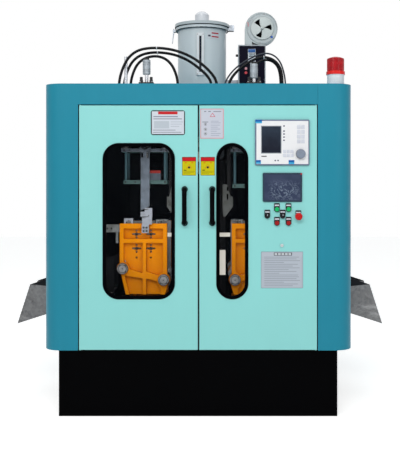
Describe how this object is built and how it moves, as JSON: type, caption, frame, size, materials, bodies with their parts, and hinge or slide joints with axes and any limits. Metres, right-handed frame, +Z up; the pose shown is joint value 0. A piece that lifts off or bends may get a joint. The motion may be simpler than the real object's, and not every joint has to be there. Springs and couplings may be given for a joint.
{
  "type": "blow moulding machine",
  "caption": "Cabinet blow moulding machine with windowed doors, shuttling clamp units, blow stations, extruder, hopper dryer, air hoses and side chutes.",
  "frame": {"origin": "on the floor under the middle of the plinth", "axes": "+X to the operator's right, +Y towards the rear, +Z up"},
  "size_m": [2.178, 1.961, 2.431],
  "materials": {
    "plinth": "semi-gloss black paint",
    "fascia": "satin blue-green paint",
    "panels": "satin blue-green paint",
    "frame": "dark satin paint",
    "door": "satin pale mint paint",
    "galvanised": "matt galvanised sheet",
    "steel": "ground steel",
    "chrome": "hard chrome",
    "orange": "orange machine paint",
    "rubber": "matt black rubber",
    "hose": "black hose cover",
    "pane": "clear plastic pane",
    "handle": "black handle",
    "housing": "light grey housing",
    "screen": "dark screen bezel",
    "bezel": "plated rings",
    "green": "green cap",
    "red": "red cap",
    "black": "black plastic",
    "lock": "plated key lock",
    "hopper": "light grey enamel",
    "white": "white frame and glass",
    "box": "dark blue-grey panel",
    "control": "white instrument and lamps",
    "alloy": "cast alloy",
    "motor": "grey motor",
    "beacon": "red flange ring over a pale foot",
    "lens": "clear red lens",
    "mirror": "reflector",
    "heater": "heater band sheet",
    "die": "dark heat-stained steel",
    "blow": "grey-green beams and steel rods"
  },
  "bodies": {
    "cabinet": {"plinth": "plinth", "front_fascia": "fascia", "right_corner_panel": "fascia", "cabinet_panels": "panels", "roof_panel": "panels", "inner_frame": "frame", "product_chutes": "galvanised", "carriage_rails": "steel", "hopper_body": "hopper", "sight_glass": "white", "heater_box": "box", "dryer_controls": "control", "blower_housing": "alloy", "blower_motor": "motor", "beacon_base": "beacon", "beacon_lens": "lens", "extruder_barrel": "steel", "heater_bands": "heater", "drive_unit": "motor", "die_head": "die", "blow_frames": "blow", "hose_supports": "steel", "air_hoses": "hose"},
    "left_leaf": {"left_door": "door", "left_window_seal": "rubber", "left_pane": "pane", "left_handle": "handle"},
    "right_leaf": {"right_door": "door", "right_window_seal": "rubber", "right_pane": "pane", "right_handle": "handle", "controller_body": "housing", "touch_panel": "screen", "button_bezels": "bezel"},
    "dial": {"controller_knob": "black"},
    "green_left": {"green_button_left": "green"},
    "green_right": {"green_button_right": "green"},
    "red_left": {"red_button_left": "red"},
    "red_right": {"red_button_right": "red"},
    "selector_a": {"selector_left": "black"},
    "selector_b": {"selector_right": "black"},
    "emergency_stop": {"estop_button": "red"},
    "lock": {"lock_knob": "lock"},
    "lid": {"hopper_lid": "hopper"},
    "latch": {"lid_latch": "steel"},
    "gate": {"slide_gate": "steel"},
    "damper": {"damper_disc": "alloy"},
    "fan": {"impeller": "alloy"},
    "reflector": {"beacon_reflector": "mirror"},
    "screw": {"extruder_screw": "chrome"},
    "left_shuttle": {"left_carriage": "orange"},
    "right_shuttle": {"right_carriage": "orange"},
    "left_clamp": {"left_front_platen": "orange", "left_tie_bars": "chrome"},
    "right_clamp": {"right_front_platen": "orange", "right_tie_bars": "chrome"},
    "left_inner_platen": {"left_middle_platen": "orange"},
    "right_inner_platen": {"right_middle_platen": "orange"},
    "left_blow": {"left_blow_slide": "blow"},
    "right_blow": {"right_blow_slide": "blow"}
  },
  "joints": [
    {"name": "left_door_hinge", "type": "hinge", "parent": "cabinet", "child": "left_leaf", "pos_m": [-0.645, -0.944, 1.036], "axis": [0, 0, -1], "range_deg": [0, 110]},
    {"name": "right_door_hinge", "type": "hinge", "parent": "cabinet", "child": "right_leaf", "pos_m": [0.645, -0.944, 1.036], "axis": [0, 0, 1], "range_deg": [0, 110]},
    {"name": "controller_dial", "type": "hinge", "parent": "right_leaf", "child": "dial", "pos_m": [0.56, -0.97, 1.4395], "axis": [0, 1, 0], "continuous": true},
    {"name": "green_left_press", "type": "slide", "parent": "right_leaf", "child": "green_left", "axis": [0, 1, 0], "range_m": [0, 0.004], "stiffness_N_per_m": 600, "springref_m": -0.002},
    {"name": "green_right_press", "type": "slide", "parent": "right_leaf", "child": "green_right", "axis": [0, 1, 0], "range_m": [0, 0.004], "stiffness_N_per_m": 600, "springref_m": -0.002},
    {"name": "red_left_press", "type": "slide", "parent": "right_leaf", "child": "red_left", "axis": [0, 1, 0], "range_m": [0, 0.004], "stiffness_N_per_m": 600, "springref_m": -0.002},
    {"name": "red_right_press", "type": "slide", "parent": "right_leaf", "child": "red_right", "axis": [0, 1, 0], "range_m": [0, 0.004], "stiffness_N_per_m": 600, "springref_m": -0.002},
    {"name": "selector_left_turn", "type": "hinge", "parent": "right_leaf", "child": "selector_a", "pos_m": [0.379, -0.96, 1.101], "axis": [0, 1, 0], "range_deg": [-45, 45]},
    {"name": "selector_right_turn", "type": "hinge", "parent": "right_leaf", "child": "selector_b", "pos_m": [0.463, -0.96, 1.101], "axis": [0, 1, 0], "range_deg": [-45, 45]},
    {"name": "emergency_stop_press", "type": "slide", "parent": "right_leaf", "child": "emergency_stop", "axis": [0, 1, 0], "range_m": [0, 0.006]},
    {"name": "lock_turn", "type": "hinge", "parent": "right_leaf", "child": "lock", "pos_m": [0.459, -0.95, 0.939], "axis": [0, 1, 0], "range_deg": [0, 90]},
    {"name": "lid_hinge", "type": "hinge", "parent": "cabinet", "child": "lid", "pos_m": [0.203, 0.05, 2.322], "axis": [0, 1, 0], "range_deg": [0, 100]},
    {"name": "latch_hinge", "type": "hinge", "parent": "cabinet", "child": "latch", "pos_m": [-0.189, 0.05, 2.302], "axis": [0, 1, 0], "range_deg": [0, 90]},
    {"name": "gate_slide", "type": "slide", "parent": "cabinet", "child": "gate", "axis": [1, 0, 0], "range_m": [-0.11, 0]},
    {"name": "damper_turn", "type": "hinge", "parent": "cabinet", "child": "damper", "pos_m": [0.399, -0.02, 2.305], "axis": [0, 1, 0], "range_deg": [0, 60]},
    {"name": "fan_spin", "type": "hinge", "parent": "cabinet", "child": "fan", "pos_m": [0.399, 0.02, 2.305], "axis": [0, 1, 0], "continuous": true},
    {"name": "reflector_spin", "type": "hinge", "parent": "cabinet", "child": "reflector", "pos_m": [0.765, -0.86, 1.93], "axis": [0, 0, 1], "continuous": true},
    {"name": "screw_spin", "type": "hinge", "parent": "cabinet", "child": "screw", "pos_m": [0, -0.05, 1.64], "axis": [0, 1, 0], "continuous": true},
    {"name": "left_shuttle_slide", "type": "slide", "parent": "cabinet", "child": "left_shuttle", "axis": [1, 0, 0], "range_m": [0, 0.327]},
    {"name": "right_shuttle_slide", "type": "slide", "parent": "cabinet", "child": "right_shuttle", "axis": [1, 0, 0], "range_m": [-0.327, 0]},
    {"name": "left_clamp_slide", "type": "slide", "parent": "left_shuttle", "child": "left_clamp", "axis": [0, 1, 0], "range_m": [0, 0.095]},
    {"name": "left_platen_slide", "type": "slide", "parent": "left_shuttle", "child": "left_inner_platen", "axis": [0, -1, 0], "range_m": [0, 0.095]},
    {"name": "right_clamp_slide", "type": "slide", "parent": "right_shuttle", "child": "right_clamp", "axis": [0, 1, 0], "range_m": [0, 0.095]},
    {"name": "right_platen_slide", "type": "slide", "parent": "right_shuttle", "child": "right_inner_platen", "axis": [0, -1, 0], "range_m": [0, 0.095]},
    {"name": "left_blow_stroke", "type": "slide", "parent": "cabinet", "child": "left_blow", "axis": [0, 0, 1], "range_m": [-0.05, 0.1]},
    {"name": "right_blow_stroke", "type": "slide", "parent": "cabinet", "child": "right_blow", "axis": [0, 0, 1], "range_m": [-0.027, 0.123]}
  ],
  "couplings": [
    {"joint": "left_platen_slide", "follows": "left_clamp_slide", "ratio": 1},
    {"joint": "right_platen_slide", "follows": "right_clamp_slide", "ratio": 1}
  ]
}
